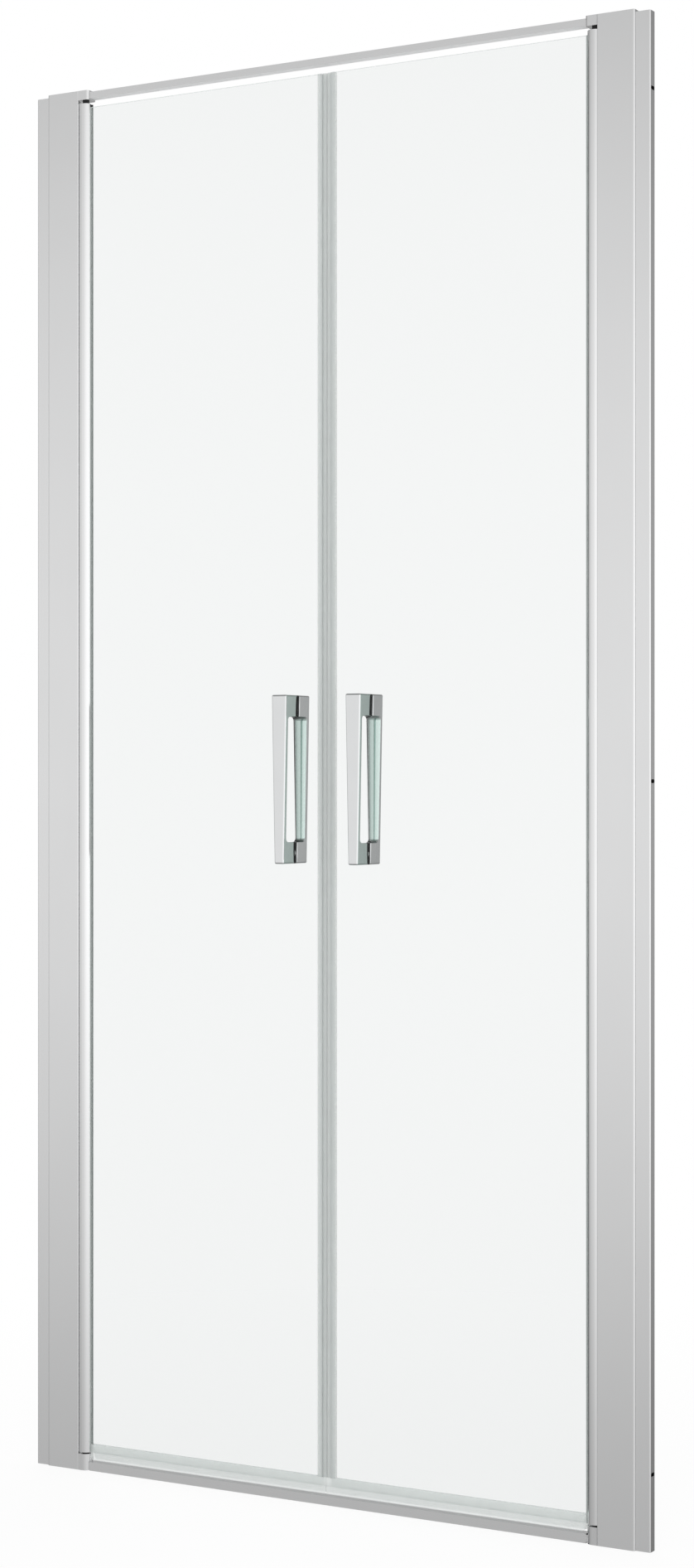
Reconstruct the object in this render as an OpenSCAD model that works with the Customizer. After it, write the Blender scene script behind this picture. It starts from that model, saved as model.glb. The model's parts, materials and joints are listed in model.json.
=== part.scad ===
// Double swing shower door for a niche: two glass wings, each on its own vertical pivot,
// between two posts that slide over channels screwed to the walls.
// X runs along the niche with the right wall at +X, Y runs into the shower, Z is up.
// The origin is on the floor, in the middle of the niche and of the glass.
// The door is the same on both sides, so each side piece is drawn once, at +X, and mirrored.

/* [Niche] */
// Width from wall to wall, outside the wall profiles
overall_w = 930; // [900:1:1200]
// Height of the posts
overall_h = 1900; // [1800:5:2050]

/* [Post] */
// Width of the post's front face
post_w = 51; // [45:1:70]
// Depth of the post, front to back
post_d = 20; // [20:0.5:24]
// Wall thickness of the post
post_wall = 2.7; // [2:0.1:2.9]
// Thickness of the wall behind the hinge profile's seat
seat_wall = 2.5; // [2:0.1:4]
// Rounding of the post's corners
post_round = 1; // [0.4:0.1:1.5]
// Outer radius of the screw port inside the post
port_r = 4; // [3.4:0.1:4.2]

/* [Wall profile] */
// Width of the wall profile, from the wall into the post
channel_w = 44; // [40:1:46]
// How much of the wall profile shows beside the post
channel_reveal = 20; // [6:1:24]
// How much the wall profile stops short of the post's top
channel_drop = 3; // [3:0.5:8]
// Thickness of the web that lies on the wall
channel_web = 2; // [1.5:0.1:3]
// Thickness of the two flanges that go into the post
channel_flange = 1.8; // [1.2:0.1:2]
// Play between the flanges and the inside of the post
channel_play = 0.3; // [0.1:0.05:0.5]
// Rounding of the wall profile's outer corners
channel_round = 0.5; // [0.2:0.1:1]
// Length of each wall slot
wall_slot_l = 10; // [7:0.5:10]
// Width of each wall slot
wall_slot_w = 4.8; // [4:0.1:5.5]
// Distance of the outer wall slots from the profile's ends
wall_slot_end = 95; // [40:5:200]

/* [Hinge profile] */
// Radius of the round hinge profile
tube_r = 10; // [9.5:0.1:12]
// Distance of the pivot axis from the post's inner edge
axis_gap = 6.5; // [6:0.1:8]
// Gap between the hinge profile and its seat in the post
seat_gap = 0.5; // [0.3:0.1:1]
// Height of the hinge profile's lower end above the floor
tube_bottom = 24.5; // [24:0.5:30]
// Distance of the hinge profile's upper end below the post's top
tube_top_drop = 17.7; // [17:0.1:24]
// Depth of the glass slot past the pivot axis
slot_past_axis = 0.8; // [0.5:0.1:1.5]
// Radius of the bored ends that take the plugs
plug_bore_r = 7.6; // [7:0.1:8]
// Length of the end plugs
plug_l = 30; // [20:1:40]
// Radius of the hollow behind the glass slot
chamber_r = 7.8; // [7:0.1:8]
// Thickness of the web between glass slot and hollow
slot_web = 1.5; // [1:0.1:2]

/* [Pivots] */
// Radius of the pivot pins
pin_r = 3; // [2.5:0.1:3.5]
// Running clearance of the pins in their bushes
pin_clearance = 0.05; // [0.02:0.01:0.1]
// Length of each pin inside its plug
pin_in_plug = 20; // [14:1:24]
// Length of each pin that stands out of its plug
pin_out = 10.5; // [9:0.5:11]
// Outer radius of the bushes
bush_r = 4.5; // [4:0.1:5.5]
// Depth of the bush in its cap
bush_depth = 8.5; // [6:0.5:8.5]
// Gap between the bush and the turning plug
thrust_gap = 0.3; // [0.2:0.05:0.5]
// Clearance of parts that are pressed or glued together
press_gap = 0.03; // [0.01:0.01:0.05]

/* [Caps and rails] */
// Height of the top caps
top_cap_h = 13; // [12.5:0.5:16]
// Height of the bottom caps
bottom_cap_h = 22.5; // [20:0.5:23]
// Joint between cap and post
cap_joint = 0.15; // [0.05:0.05:0.3]
// Thickness of the cap's plate that reaches over the screw port
cap_plate = 2.7; // [2.4:0.1:2.9]
// Depth of the rails, front to back
rail_d = 13; // [12:0.5:16]
// Wall thickness of the rails
rail_wall = 1.3; // [1:0.1:1.8]
// Height of the header rail
header_h = 9.2; // [8.8:0.1:10]
// Distance of the header rail below the post's top
header_drop = 2.3; // [2:0.1:3]
// Height of the sill rail
sill_h = 12; // [11:0.5:13]
// Gap between a rail's end and the cap's nose
rail_end_gap = 0.3; // [0.1:0.1:1]
// Length of the cap's tongue inside the rail
tongue_l = 12; // [9:0.5:16]
// Play of the tongue in the rail
tongue_play = 0.25; // [0.1:0.05:0.4]

/* [Glass] */
// Thickness of the panes
glass_t = 6; // [5:0.5:6]
// Gap between the two panes
glass_gap = 15; // [14:0.5:18]
// Height of the panes' lower edge above the floor
glass_bottom = 25; // [24.5:0.5:32]
// Distance of the panes' upper edge below the post's top
glass_top_drop = 22.5; // [20:0.5:30]
// Radius of the two handle holes in each pane
glass_hole_r = 6; // [5:0.5:7]

/* [Seals] */
// Thickness of the glazing gasket's lips
gasket_t = 0.6; // [0.4:0.1:0.8]
// How far the glazing gasket shows beyond the hinge profile
gasket_show = 1.5; // [0.5:0.5:4]
// Thickness of the centre and bottom seals' legs
seal_t = 1; // [0.6:0.1:1.1]
// Length of the centre seal's legs on the glass
seal_leg = 6; // [5:0.5:10]
// Gap between the two centre seals
seal_meet = 0.5; // [0.4:0.1:1.5]
// Wall thickness of the centre seal's hollow bead
bead_wall = 0.8; // [0.6:0.1:1.2]
// How far the centre seal starts above the glass's lower edge
seal_raise = 10.5; // [0:0.5:12]
// Length of the bottom seal's legs on the glass
sweep_leg = 11; // [8:0.5:16]
// Gap between the bottom seal's lip and the sill rail
sweep_gap = 2.4; // [1.5:0.1:3]
// Thickness of the bottom seal's two lips
sweep_lip = 0.8; // [0.6:0.1:1]
// How far the bottom seal's lips spread at their tips
sweep_spread = 1.2; // [0:0.1:1.5]
// Distance of the bottom seal's end from the hinge profile
sweep_end = 5; // [4.5:0.5:8]
// Rounding of the lips' corner beside the hinge profile
sweep_corner = 6; // [3:0.5:8]

/* [Handles] */
// Distance of each handle's middle from the middle of the door
handle_x = 56; // [45:1:90]
// Height of the handles' lower end above the floor
handle_z = 840; // [700:5:1000]
// Length of the handles
handle_l = 222; // [180:1:300]
// Width of a handle at its upper end
handle_top_w = 22.5; // [18:0.5:30]
// Width of a handle at its lower end
handle_bottom_w = 14; // [12:0.5:18]
// Height of the handle's end blocks
block_h = 28; // [22:1:36]
// Distance from the glass to the handle's outer face
handle_out = 28.5; // [26:0.5:40]
// Thickness of the grip bar in its middle
bar_t = 9.5; // [7:0.1:11]
// Thickness of the grip bar below its round back
bar_edge = 3.8; // [2.5:0.1:5]
// Radius of the grip bar's round back
bar_back_r = 18; // [14:0.5:24]
// Rounding of the window's inner corners
window_r = 5; // [2:0.5:8]
// Thickness of the gaskets between handle and glass
pad_t = 1; // [0.5:0.1:1.5]
// Radius of the threaded studs through the glass
stud_r = 3; // [2.5:0.1:3]
// Depth of each stud in its handle block
stud_in = 16; // [12:0.5:18]
// Radius of the grub screws
grub_r = 2; // [1.5:0.1:2.2]
// How far each grub screw is sunk into its block
grub_inset = 0.5; // [0:0.1:2]

/* [Fasteners] */
// Shank radius of the screws in the post's port
cap_screw_r = 2; // [1.5:0.1:2.1]
// Head radius of those screws
cap_screw_head = 3.8; // [3.4:0.1:4]
// Length of those screws
cap_screw_l = 20; // [12:1:30]
// Shank radius of the adjusting screws
adjust_r = 2; // [1.5:0.1:2.5]
// Head radius of the adjusting screws
adjust_head = 3.6; // [3:0.1:4]
// Length of the adjusting screws
adjust_l = 7; // [5:0.5:9]
// Number of adjusting screws on each side
adjust_count = 3; // [2:1:5]
// Distance of the outer adjusting screws from the post's ends
adjust_end = 150; // [60:5:300]
// Shank radius of the rail screws
rail_screw_r = 1.5; // [1:0.1:1.6]
// Head radius of the rail screws
rail_screw_head = 2.7; // [2.4:0.1:3]
// Length of the rail screws
rail_screw_l = 7; // [4:0.5:7.5]

/* [Hidden] */
SIDES = ["left", "right"];
FRAME_SIDE_NODES = ["wall_profile", "post", "top_cap", "bottom_cap", "top_bush", "bottom_bush",
    "top_cap_screw", "bottom_cap_screw", "adjusting_screws"];
WING_NODES = ["hinge_profile", "glass", "glazing_gasket", "top_plug", "bottom_plug",
    "top_pin", "bottom_pin", "centre_seal", "bottom_seal", "outer_handle", "inner_handle",
    "handle_gaskets", "handle_sleeves", "handle_studs", "handle_grub_screws"];
$fn = 64;

// How far the screw port sinks into the seat's wall
port_sink = 1;
// Play between sleeve and glass
sleeve_gap = 0.1;
// Play round countersunk heads
sink_play = 0.1;
// Shape of the hexagon sockets: their radius and depth as shares of the screw's radius and head
socket_wide = 0.7;
socket_deep = 0.8;
// How far cutting bodies stand out of what they cut
cut = 1;

// Places along X, on the right side
wall_x = overall_w / 2;
post_out_x = wall_x - channel_reveal;
post_in_x = post_out_x - post_w;
axis_x = post_in_x - axis_gap;
seat_r = tube_r + seat_gap;
chamber_x = axis_x + seat_r + seat_wall;
port_x = chamber_x + port_r - port_sink;
channel_in_x = wall_x - channel_w;
rail_end_x = axis_x - tube_r - rail_end_gap;
glass_in_x = glass_gap / 2;
slot_x = axis_x + slot_past_axis;
gasket_back = gasket_t / 2;
glass_out_x = slot_x - gasket_back;
gasket_in_x = axis_x - tube_r - gasket_show;
sweep_out_x = axis_x - tube_r - sweep_end;
notch_x = axis_x - plug_bore_r - press_gap;
bead_r = (glass_in_x - seal_meet / 2) / 2 - seal_t / 4;
rail_screw_x = rail_end_x - tongue_l / 2;

// Places along Y
post_y = post_d / 2;
chamber_y = post_y - post_wall;
channel_y = chamber_y - channel_play;
plate_y = channel_y - channel_flange - channel_play;
glass_y = glass_t / 2;
slot_y = glass_y + gasket_t;
tongue_y = rail_d / 2 - rail_wall - tongue_play;
pad_y = glass_y + pad_t;
handle_y = glass_y + handle_out;
grub_y = pad_y + stud_in - 2 * grub_r;

// Places along Z
tube_top = overall_h - tube_top_drop;
glass_top = overall_h - glass_top_drop;
top_cap_z = overall_h - top_cap_h;
header_top = overall_h - header_drop;
header_z = header_top - header_h;
seal_z = glass_bottom + seal_raise;
sweep_root = glass_bottom - seal_t;
sweep_z = sill_h + sweep_gap;
window_z = handle_z + block_h;
window_top = handle_z + handle_l - block_h;
stud_zs = [handle_z + block_h / 2, handle_z + handle_l - block_h / 2];

// Pieces of the side that has +X are drawn as they are, the others mirrored
module on_side(side) {
    mirror([side == "left" ? 1 : 0, 0, 0]) children();
}

// Box between two corners
module block(low, high) {
    translate(low) cube(high - low);
}

// Rectangle with round corners, between two corners
module round_rect(low, high, r) {
    translate([low[0] + r, low[1]]) square([high[0] - low[0] - 2 * r, high[1] - low[1]]);
    translate([low[0], low[1] + r]) square([high[0] - low[0], high[1] - low[1] - 2 * r]);
    for (x = [low[0] + r, high[0] - r], y = [low[1] + r, high[1] - r])
        translate([x, y]) circle(r);
}

// Upright round bar at x, y between two heights
module rod(x, y, z0, z1, r) {
    translate([x, y, z0]) cylinder(h = z1 - z0, r = r);
}

// Countersunk screw along -Z with its head's top at the origin
module sunk_screw(r, head_r, length) {
    head_h = head_r - r;
    difference() {
        union() {
            translate([0, 0, -length]) cylinder(h = length - head_h / 2, r = r);
            translate([0, 0, -head_h]) cylinder(h = head_h, r1 = r, r2 = head_r);
        }
        translate([0, 0, -head_h * socket_deep]) cylinder(h = head_h, r = r * socket_wide, $fn = 6);
    }
}

// Hole for such a screw
module sunk_hole(r, head_r, length) {
    head_h = head_r - r;
    translate([0, 0, -length - cut]) cylinder(h = length + 2 * cut, r = r + sink_play);
    translate([0, 0, -head_h])
        cylinder(h = head_h + sink_play, r1 = r + sink_play, r2 = head_r + 2 * sink_play);
}

// Heights of a row of count places, even between both ends of a length
function row_z(count, end, length) =
    [for (i = [0 : count - 1]) end + i * (length - 2 * end) / (count - 1)];

// Channel on the wall: a web with wall slots and two flanges that go into the post
module wall_profile() {
    color("#b9bcbe") difference() {
        linear_extrude(overall_h - channel_drop) difference() {
            round_rect([channel_in_x, -channel_y], [wall_x, channel_y], channel_round);
            inner_y = channel_y - channel_flange;
            translate([channel_in_x - cut, -inner_y])
                square([channel_w - channel_web + cut, 2 * inner_y]);
        }
        for (z = row_z(3, wall_slot_end, overall_h - channel_drop)) wall_slot(z);
        for (z = row_z(adjust_count, adjust_end, overall_h)) adjust_place(z)
            rotate([-90, 0, 0]) cylinder(h = 4 * post_wall, r = adjust_r + press_gap, center = true);
    }
}

// Slot through the web, long from front to back
module wall_slot(z) {
    arc_y = (wall_slot_l - wall_slot_w) / 2;
    translate([wall_x - channel_web - cut, 0, z]) {
        for (y = [-arc_y, arc_y]) translate([0, y, 0])
            rotate([0, 90, 0]) cylinder(h = channel_web + 2 * cut, r = wall_slot_w / 2);
        translate([0, -arc_y, -wall_slot_w / 2])
            cube([channel_web + 2 * cut, 2 * arc_y, wall_slot_w]);
    }
}

// Moves to an adjusting screw's head, on the post's inner face
module adjust_place(z) {
    adjust_x = (post_out_x + channel_in_x) / 2;
    translate([adjust_x, post_y, z]) children();
}

// Post: hollow towards the wall, with a round seat for the hinge profile and a screw port
module post() {
    color("#c9cbcd") difference() {
        linear_extrude(overall_h) difference() {
            union() {
                difference() {
                    round_rect([post_in_x, -post_y], [post_out_x, post_y], post_round);
                    translate([chamber_x, -chamber_y])
                        square([post_out_x - chamber_x + cut, 2 * chamber_y]);
                }
                translate([port_x, 0]) circle(port_r);
            }
            translate([axis_x, 0]) circle(seat_r);
            translate([port_x, 0]) circle(cap_screw_r + press_gap);
        }
        // Room for the cap plates over and under the screw port
        block([post_in_x - cut, -chamber_y, overall_h - cap_plate - cap_joint],
            [post_out_x + cut, chamber_y, overall_h + cut]);
        block([post_in_x - cut, -plate_y - cap_joint, -cut],
            [port_x + port_r + 2 * cap_joint, plate_y + cap_joint, cap_plate + cap_joint]);
        for (z = row_z(adjust_count, adjust_end, overall_h)) adjust_place(z)
            rotate([-90, 0, 0]) sunk_hole(adjust_r, adjust_head, post_wall);
    }
}

// Round-nosed block that closes the end of the hinge profile's seat
module cap_block(z0, z1) {
    rod(axis_x, 0, z0, z1, tube_r);
    block([axis_x, -post_y, z0], [post_in_x - cap_joint, post_y, z1]);
}

// Tongue of a cap that holds the end of a rail
module rail_tongue(z0, z1) {
    low_z = z0 + rail_wall + tongue_play;
    high_z = z1 - rail_wall - tongue_play;
    block([rail_end_x - tongue_l, -tongue_y, low_z], [axis_x - tube_r / 2, tongue_y, high_z]);
}

module top_cap() {
    color("#c9cbcd") difference() {
        union() {
            cap_block(top_cap_z, overall_h);
            block([axis_x, -chamber_y + cap_joint, overall_h - cap_plate],
                [post_out_x - cap_joint, chamber_y - cap_joint, overall_h]);
            rail_tongue(header_z, header_top);
        }
        rod(axis_x, 0, top_cap_z - cut, top_cap_z + bush_depth + press_gap, bush_r + press_gap);
        translate([port_x, 0, overall_h]) sunk_hole(cap_screw_r, cap_screw_head, cap_screw_l);
        rod(rail_screw_x, 0, header_z, header_top, rail_screw_r + press_gap);
    }
}

module bottom_cap() {
    color("#c9cbcd") difference() {
        union() {
            cap_block(0, bottom_cap_h);
            block([axis_x, -plate_y, 0], [port_x + port_r, plate_y, cap_plate]);
            rail_tongue(0, sill_h);
        }
        rod(axis_x, 0, bottom_cap_h - bush_depth - press_gap, bottom_cap_h + cut,
            bush_r + press_gap);
        translate([port_x, 0, 0]) mirror([0, 0, 1])
            sunk_hole(cap_screw_r, cap_screw_head, cap_screw_l);
        rod(rail_screw_x, 0, 0, sill_h, rail_screw_r + press_gap);
    }
}

// Black bush: pressed into the cap, it stands out of it nearly to the turning plug
module bush(z0, z1) {
    color("#1c1d1e") difference() {
        rod(axis_x, 0, z0, z1, bush_r);
        rod(axis_x, 0, z0 - cut, z1 + cut, pin_r + pin_clearance);
    }
}

module top_bush() { bush(tube_top + thrust_gap, top_cap_z + bush_depth); }

module bottom_bush() { bush(bottom_cap_h - bush_depth, tube_bottom - thrust_gap); }

module top_cap_screw() {
    color("#8d9092") translate([port_x, 0, overall_h])
        sunk_screw(cap_screw_r, cap_screw_head, cap_screw_l);
}

module bottom_cap_screw() {
    color("#8d9092") translate([port_x, 0, 0]) mirror([0, 0, 1])
        sunk_screw(cap_screw_r, cap_screw_head, cap_screw_l);
}

// Screws through the post's inner wall into the wall profile's flange
module adjusting_screws() {
    color("#8d9092") for (z = row_z(adjust_count, adjust_end, overall_h)) adjust_place(z)
        rotate([-90, 0, 0]) sunk_screw(adjust_r, adjust_head, adjust_l);
}

// Rail between the caps: a hollow box with screw holes over the tongues
module rail(z0, z1, screw_z, turn) {
    color("#bfc1c3") difference() {
        block([-rail_end_x, -rail_d / 2, z0], [rail_end_x, rail_d / 2, z1]);
        block([-rail_end_x - cut, -rail_d / 2 + rail_wall, z0 + rail_wall],
            [rail_end_x + cut, rail_d / 2 - rail_wall, z1 - rail_wall]);
        for (x = [-rail_screw_x, rail_screw_x]) translate([x, 0, screw_z]) rotate([turn, 0, 0])
            sunk_hole(rail_screw_r, rail_screw_head, 2 * rail_wall - cut);
    }
}

module header_rail() { rail(header_z, header_top, header_top, 0); }

module sill_rail() { rail(0, sill_h, 0, 180); }

module rail_screws(screw_z, turn) {
    color("#8d9092") for (x = [-rail_screw_x, rail_screw_x])
        translate([x, 0, screw_z]) rotate([turn, 0, 0])
            sunk_screw(rail_screw_r, rail_screw_head, rail_screw_l);
}

module header_screws() { rail_screws(header_top, 0); }

module sill_screws() { rail_screws(0, 180); }

// Round profile with a slot for the glass, a hollow behind it and bored ends for the plugs
module hinge_profile() {
    color("#d4d6d8") difference() {
        translate([axis_x, 0, tube_bottom]) linear_extrude(tube_top - tube_bottom) difference() {
            circle(tube_r);
            translate([-tube_r - cut, -slot_y]) square([tube_r + cut + slot_past_axis, 2 * slot_y]);
            intersection() {
                circle(chamber_r);
                translate([slot_past_axis + slot_web, -tube_r]) square(2 * tube_r);
            }
        }
        rod(axis_x, 0, tube_bottom - cut, tube_bottom + plug_l, plug_bore_r);
        rod(axis_x, 0, tube_top - plug_l, tube_top + cut, plug_bore_r);
    }
}

// Pane: notched beside the end plugs, with two holes for the handle
module glass() {
    color("#dfeeea", 0.45) difference() {
        block([glass_in_x, -glass_y, glass_bottom], [glass_out_x, glass_y, glass_top]);
        block([notch_x, -glass_y - cut, glass_bottom - cut],
            [glass_out_x + cut, glass_y + cut, tube_bottom + plug_l + gasket_t]);
        block([notch_x, -glass_y - cut, tube_top - plug_l - gasket_t],
            [glass_out_x + cut, glass_y + cut, glass_top + cut]);
        for (z = stud_zs) translate([handle_x, 0, z]) rotate([90, 0, 0])
            cylinder(h = 2 * glass_t, r = glass_hole_r, center = true);
    }
}

// Two lips in the slot, one on each face of the glass, joined round the glass's edge
module glazing_gasket() {
    color("#c6cecb") difference() {
        block([gasket_in_x, -slot_y, glass_bottom], [slot_x, slot_y, glass_top]);
        block([gasket_in_x - cut, -glass_y, glass_bottom - cut],
            [glass_out_x, glass_y, glass_top + cut]);
        for (z = [tube_bottom + plug_l / 2 - cut, tube_top - plug_l / 2 + cut])
            block([notch_x, -slot_y - cut, z - plug_l / 2 - cut - gasket_t],
                [slot_x + cut, slot_y + cut, z + plug_l / 2 + cut + gasket_t]);
    }
}

// Plug in the bored end of the hinge profile, with a hole for the pivot pin
module plug(z0, pin_z0) {
    color("#2a2c2e") difference() {
        rod(axis_x, 0, z0, z0 + plug_l, plug_bore_r - press_gap);
        rod(axis_x, 0, pin_z0, pin_z0 + pin_in_plug + cut, pin_r + press_gap / 3);
    }
}

module top_plug() { plug(tube_top - plug_l, tube_top - pin_in_plug); }

module bottom_plug() { plug(tube_bottom, tube_bottom - cut); }

module top_pin() {
    color("#a9acaf") rod(axis_x, 0, tube_top - pin_in_plug + press_gap, tube_top + pin_out, pin_r);
}

module bottom_pin() {
    color("#a9acaf") rod(axis_x, 0, tube_bottom - pin_out, tube_bottom + pin_in_plug, pin_r);
}

// Clip on the glass's free edge with a hollow bead that meets the other wing's bead
module centre_seal() {
    color("#c8d2cf", 0.8) translate([0, 0, seal_z]) linear_extrude(glass_top - seal_z)
        difference() {
            union() {
                translate([glass_in_x - seal_t, -glass_y - seal_t])
                    square([seal_t + seal_leg, glass_t + 2 * seal_t]);
                translate([seal_meet / 2 + bead_r, 0]) circle(bead_r);
            }
            translate([glass_in_x, -glass_y]) square([seal_leg + cut, glass_t]);
            translate([seal_meet / 2 + bead_r, 0]) circle(bead_r - bead_wall);
        }
}

// Outline of the bottom seal across the glass: a clip with two spread lips
module sweep_outline() {
    outer_y = glass_y + seal_t;
    inner_y = outer_y - sweep_lip;
    leg_z = glass_bottom + sweep_leg;
    half = [[glass_y, glass_bottom], [glass_y, leg_z], [outer_y, leg_z], [outer_y, sweep_root],
        [outer_y + sweep_spread, sweep_z], [inner_y + sweep_spread, sweep_z], [inner_y, sweep_root]];
    polygon(concat(half, [for (i = [len(half) - 1 : -1 : 0]) [-half[i][0], half[i][1]]]));
}

// Clip on the glass's lower edge with two lips that sweep over the sill rail
module bottom_seal() {
    wide_y = glass_y + seal_t + sweep_spread + cut;
    color("#d5dcda", 0.8) difference() {
        translate([glass_in_x, 0, 0]) rotate([90, 0, 90])
            linear_extrude(sweep_out_x - glass_in_x) sweep_outline();
        // Room for the centre seal's legs above the sweep's legs
        block([glass_in_x - cut, -wide_y, seal_z],
            [glass_in_x + seal_leg + press_gap, wide_y, seal_z + sweep_leg]);
        // Round corner beside the cap's nose
        difference() {
            block([sweep_out_x - sweep_corner, -wide_y, sweep_z - cut],
                [sweep_out_x + cut, wide_y, sweep_z + sweep_corner]);
            translate([sweep_out_x - sweep_corner, 0, sweep_z + sweep_corner])
                rotate([90, 0, 0]) cylinder(h = 3 * wide_y, r = sweep_corner, center = true);
        }
    }
}

// Side outline of one handle half on the outside of the glass, in Y and Z
module handle_side() {
    difference() {
        translate([-handle_y, handle_z]) square([handle_y - pad_y, handle_l]);
        round_rect([-handle_y + bar_edge, window_z], [pad_y, window_top], window_r);
    }
}

// Front outline of the handle, in X and Z: narrower downwards
module handle_front() {
    top_w = handle_top_w / 2;
    bottom_w = handle_bottom_w / 2;
    polygon([[handle_x - bottom_w, handle_z], [handle_x + bottom_w, handle_z],
        [handle_x + top_w, handle_z + handle_l], [handle_x - top_w, handle_z + handle_l]]);
}

// Round back of the grip bar, from block to block
module bar_back() {
    back_y = -handle_y + bar_t;
    intersection() {
        rod(handle_x, back_y - bar_back_r, window_z - cut, window_top + cut, bar_back_r);
        block([handle_x - handle_top_w, -handle_y + bar_edge - cut, window_z - cut],
            [handle_x + handle_top_w, back_y + cut, window_top + cut]);
    }
}

// Half handle on the outside of the glass, with blind holes for the studs
module handle_half() {
    difference() {
        intersection() {
            union() {
                rotate([90, 0, 90]) linear_extrude(handle_x + handle_top_w) handle_side();
                bar_back();
            }
            rotate([90, 0, 0]) linear_extrude(2 * handle_y, center = true) handle_front();
        }
        for (z = stud_zs) translate([handle_x, -pad_y - stud_in - cut, z]) rotate([-90, 0, 0])
            cylinder(h = stud_in + 2 * cut, r = stud_r + press_gap);
    }
}

module outer_handle() { color("#d9dbdc") handle_half(); }

// The inner half also has a grub screw hole from below into each stud hole
module inner_handle() {
    color("#d9dbdc") difference() {
        mirror([0, 1, 0]) handle_half();
        for (z = stud_zs) rod(handle_x, grub_y, z - block_h / 2 - cut, z, grub_r + press_gap);
    }
}

module handle_grub_screws() {
    color("#4a4c4e") for (z = stud_zs) difference() {
        low_z = z - block_h / 2 + grub_inset;
        rod(handle_x, grub_y, low_z, z - stud_r - press_gap, grub_r);
        rod(handle_x, grub_y, low_z - cut, low_z + grub_r, grub_r * socket_wide, $fn = 6);
    }
}

// Black pads between the handle's blocks and both faces of the glass
module handle_gaskets() {
    color("#202223") difference() {
        intersection() {
            rotate([90, 0, 0]) linear_extrude(2 * pad_y, center = true) handle_front();
            for (z = stud_zs, y0 = [-pad_y, glass_y])
                block([0, y0, z - block_h / 2], [2 * handle_x, y0 + pad_t, z + block_h / 2]);
        }
        for (z = stud_zs) translate([handle_x, 0, z]) rotate([90, 0, 0])
            cylinder(h = 4 * glass_t, r = stud_r + press_gap, center = true);
    }
}

// Sleeves that keep the studs off the glass
module handle_sleeves() {
    color("#e6e7e8") for (z = stud_zs) translate([handle_x, 0, z]) rotate([90, 0, 0])
        difference() {
            cylinder(h = glass_t, r = glass_hole_r - sleeve_gap, center = true);
            cylinder(h = 2 * glass_t, r = stud_r + press_gap, center = true);
        }
}

module handle_studs() {
    color("#9a9da0") for (z = stud_zs) translate([handle_x, 0, z]) rotate([90, 0, 0])
        cylinder(h = 2 * (pad_y + stud_in), r = stud_r, center = true);
}

header_rail();
sill_rail();
header_screws();
sill_screws();
on_side("left") wall_profile();  // left_wall_profile
on_side("right") wall_profile();  // right_wall_profile
on_side("left") post();  // left_post
on_side("right") post();  // right_post
on_side("left") top_cap();  // left_top_cap
on_side("right") top_cap();  // right_top_cap
on_side("left") bottom_cap();  // left_bottom_cap
on_side("right") bottom_cap();  // right_bottom_cap
on_side("left") top_bush();  // left_top_bush
on_side("right") top_bush();  // right_top_bush
on_side("left") bottom_bush();  // left_bottom_bush
on_side("right") bottom_bush();  // right_bottom_bush
on_side("left") top_cap_screw();  // left_top_cap_screw
on_side("right") top_cap_screw();  // right_top_cap_screw
on_side("left") bottom_cap_screw();  // left_bottom_cap_screw
on_side("right") bottom_cap_screw();  // right_bottom_cap_screw
on_side("left") adjusting_screws();  // left_adjusting_screws
on_side("right") adjusting_screws();  // right_adjusting_screws
on_side("left") hinge_profile();  // left_hinge_profile
on_side("right") hinge_profile();  // right_hinge_profile
on_side("left") glass();  // left_glass
on_side("right") glass();  // right_glass
on_side("left") glazing_gasket();  // left_glazing_gasket
on_side("right") glazing_gasket();  // right_glazing_gasket
on_side("left") top_plug();  // left_top_plug
on_side("right") top_plug();  // right_top_plug
on_side("left") bottom_plug();  // left_bottom_plug
on_side("right") bottom_plug();  // right_bottom_plug
on_side("left") top_pin();  // left_top_pin
on_side("right") top_pin();  // right_top_pin
on_side("left") bottom_pin();  // left_bottom_pin
on_side("right") bottom_pin();  // right_bottom_pin
on_side("left") centre_seal();  // left_centre_seal
on_side("right") centre_seal();  // right_centre_seal
on_side("left") bottom_seal();  // left_bottom_seal
on_side("right") bottom_seal();  // right_bottom_seal
on_side("left") outer_handle();  // left_outer_handle
on_side("right") outer_handle();  // right_outer_handle
on_side("left") inner_handle();  // left_inner_handle
on_side("right") inner_handle();  // right_inner_handle
on_side("left") handle_gaskets();  // left_handle_gaskets
on_side("right") handle_gaskets();  // right_handle_gaskets
on_side("left") handle_sleeves();  // left_handle_sleeves
on_side("right") handle_sleeves();  // right_handle_sleeves
on_side("left") handle_studs();  // left_handle_studs
on_side("right") handle_studs();  // right_handle_studs
on_side("left") handle_grub_screws();  // left_handle_grub_screws
on_side("right") handle_grub_screws();  // right_handle_grub_screws
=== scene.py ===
import json
import math

import bpy
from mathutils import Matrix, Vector


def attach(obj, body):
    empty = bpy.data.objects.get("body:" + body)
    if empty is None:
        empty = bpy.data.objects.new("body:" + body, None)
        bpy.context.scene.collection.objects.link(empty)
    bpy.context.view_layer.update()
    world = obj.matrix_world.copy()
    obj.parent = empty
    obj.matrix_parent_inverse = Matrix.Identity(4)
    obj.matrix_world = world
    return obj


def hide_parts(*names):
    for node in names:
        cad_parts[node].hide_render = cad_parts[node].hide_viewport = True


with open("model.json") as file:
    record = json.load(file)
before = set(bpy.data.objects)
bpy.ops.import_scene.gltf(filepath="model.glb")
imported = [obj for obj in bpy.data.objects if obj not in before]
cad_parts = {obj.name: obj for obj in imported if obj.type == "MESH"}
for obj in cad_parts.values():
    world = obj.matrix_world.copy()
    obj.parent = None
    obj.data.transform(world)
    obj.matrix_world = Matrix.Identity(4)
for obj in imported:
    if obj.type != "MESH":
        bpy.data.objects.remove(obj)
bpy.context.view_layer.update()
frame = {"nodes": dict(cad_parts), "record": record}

MM = 0.001
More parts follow.
